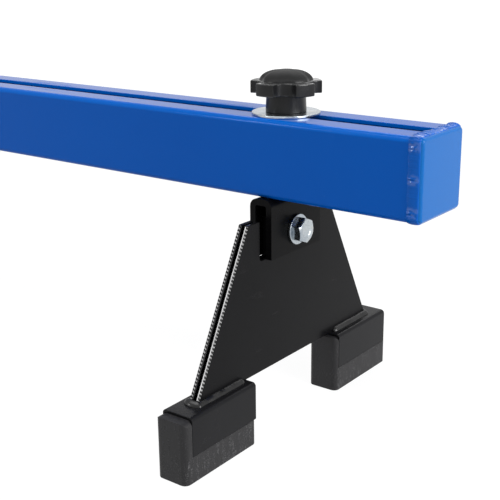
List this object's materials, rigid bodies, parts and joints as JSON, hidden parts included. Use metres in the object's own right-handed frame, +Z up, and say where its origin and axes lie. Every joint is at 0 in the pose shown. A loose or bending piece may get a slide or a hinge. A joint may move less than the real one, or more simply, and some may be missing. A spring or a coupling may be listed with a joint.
{
  "type": "engine support bar",
  "caption": "Slotted square beam on clamp-on swivelling legs with rubber feet, and screw hooks that hold up an engine from above.",
  "frame": {"origin": "centre of the bounding box of the whole bar, in the plane under its four rubber feet", "axes": "+X along the beam towards the end that the picture shows, +Z up, and -Y is the side that the picture is taken from"},
  "size_m": [1.5, 0.285, 0.3365],
  "materials": {
    "blue_powder_coat": "gloss",
    "black_powder_coat": "satin",
    "zinc_plate": "bright zinc plate",
    "knob_plastic": "moulded, satin",
    "pad_rubber": "matt"
  },
  "bodies": {
    "beam": {"front_rail": "blue_powder_coat", "rear_rail": "blue_powder_coat", "right_end_cap": "blue_powder_coat", "right_end_weld": "blue_powder_coat", "left_end_cap": "blue_powder_coat", "left_end_weld": "blue_powder_coat"},
    "right_clamp": {"right_knob_washer": "zinc_plate"},
    "right_knob": {"right_star_knob": "knob_plastic", "right_knob_insert": "zinc_plate"},
    "right_bracket": {"right_clevis_bracket": "black_powder_coat", "right_clamp_bolt": "zinc_plate", "right_pivot_bolt": "zinc_plate", "right_pivot_head_washer": "zinc_plate", "right_pivot_nut_washer": "zinc_plate", "right_pivot_nut": "zinc_plate"},
    "right_leg": {"right_outer_leg_plate": "black_powder_coat", "right_inner_leg_plate": "black_powder_coat", "right_pivot_spacer": "zinc_plate", "right_front_foot_channel": "black_powder_coat", "right_front_foot_weld": "black_powder_coat", "right_front_foot_pad": "pad_rubber", "right_rear_foot_channel": "black_powder_coat", "right_rear_foot_weld": "black_powder_coat", "right_rear_foot_pad": "pad_rubber"},
    "left_clamp": {"left_knob_washer": "zinc_plate"},
    "left_knob": {"left_star_knob": "knob_plastic", "left_knob_insert": "zinc_plate"},
    "left_bracket": {"left_clevis_bracket": "black_powder_coat", "left_clamp_bolt": "zinc_plate", "left_pivot_bolt": "zinc_plate", "left_pivot_head_washer": "zinc_plate", "left_pivot_nut_washer": "zinc_plate", "left_pivot_nut": "zinc_plate"},
    "left_leg": {"left_outer_leg_plate": "black_powder_coat", "left_inner_leg_plate": "black_powder_coat", "left_pivot_spacer": "zinc_plate", "left_front_foot_channel": "black_powder_coat", "left_front_foot_weld": "black_powder_coat", "left_front_foot_pad": "pad_rubber", "left_rear_foot_channel": "black_powder_coat", "left_rear_foot_weld": "black_powder_coat", "left_rear_foot_pad": "pad_rubber"},
    "right_hook_carriage": {"right_hook_saddle": "zinc_plate", "right_hook_thrust_washer": "zinc_plate"},
    "right_hook_nut": {"right_hook_wing_nut": "zinc_plate"},
    "right_hook": {"right_hook_spindle": "zinc_plate"},
    "left_hook_carriage": {"left_hook_saddle": "zinc_plate", "left_hook_thrust_washer": "zinc_plate"},
    "left_hook_nut": {"left_hook_wing_nut": "zinc_plate"},
    "left_hook": {"left_hook_spindle": "zinc_plate"}
  },
  "joints": [
    {"name": "right_leg_slide", "type": "slide", "parent": "beam", "child": "right_clamp", "axis": [1, 0, 0], "range_m": [-0.15, 0.07]},
    {"name": "right_knob_turn", "type": "hinge", "parent": "right_clamp", "child": "right_knob", "pos_m": [0.618, 0, 0.2495], "axis": [0, 0, 1], "continuous": true},
    {"name": "right_leg_swivel", "type": "hinge", "parent": "right_clamp", "child": "right_bracket", "pos_m": [0.618, 0, 0.1875], "axis": [0, 0, 1], "range_deg": [-90, 90]},
    {"name": "right_leg_swing", "type": "hinge", "parent": "right_bracket", "child": "right_leg", "pos_m": [0.618, 0, 0.1585], "axis": [1, 0, 0], "range_deg": [-15, 15]},
    {"name": "left_leg_slide", "type": "slide", "parent": "beam", "child": "left_clamp", "axis": [1, 0, 0], "range_m": [-0.07, 0.15]},
    {"name": "left_knob_turn", "type": "hinge", "parent": "left_clamp", "child": "left_knob", "pos_m": [-0.618, 0, 0.2495], "axis": [0, 0, 1], "continuous": true},
    {"name": "left_leg_swivel", "type": "hinge", "parent": "left_clamp", "child": "left_bracket", "pos_m": [-0.618, 0, 0.1875], "axis": [0, 0, 1], "range_deg": [-90, 90]},
    {"name": "left_leg_swing", "type": "hinge", "parent": "left_bracket", "child": "left_leg", "pos_m": [-0.618, 0, 0.1585], "axis": [1, 0, 0], "range_deg": [-15, 15]},
    {"name": "right_hook_slide", "type": "slide", "parent": "beam", "child": "right_hook_carriage", "axis": [1, 0, 0], "range_m": [-0.12, 0.06]},
    {"name": "right_nut_turn", "type": "hinge", "parent": "right_hook_carriage", "child": "right_hook_nut", "pos_m": [0.19, 0, 0.2545], "axis": [0, 0, -1], "range_deg": [-9000, 12600]},
    {"name": "right_hook_lift", "type": "slide", "parent": "right_hook_carriage", "child": "right_hook", "axis": [0, 0, 1], "range_m": [-0.0501, 0.0701]},
    {"name": "left_hook_slide", "type": "slide", "parent": "beam", "child": "left_hook_carriage", "axis": [1, 0, 0], "range_m": [-0.06, 0.12]},
    {"name": "left_nut_turn", "type": "hinge", "parent": "left_hook_carriage", "child": "left_hook_nut", "pos_m": [-0.19, 0, 0.2545], "axis": [0, 0, -1], "range_deg": [-9000, 12600]},
    {"name": "left_hook_lift", "type": "slide", "parent": "left_hook_carriage", "child": "left_hook", "axis": [0, 0, 1], "range_m": [-0.0501, 0.0701]}
  ],
  "couplings": [
    {"joint": "right_hook_lift", "follows": "right_nut_turn", "m_per_rad": 0.00031831},
    {"joint": "left_hook_lift", "follows": "left_nut_turn", "m_per_rad": 0.00031831}
  ]
}
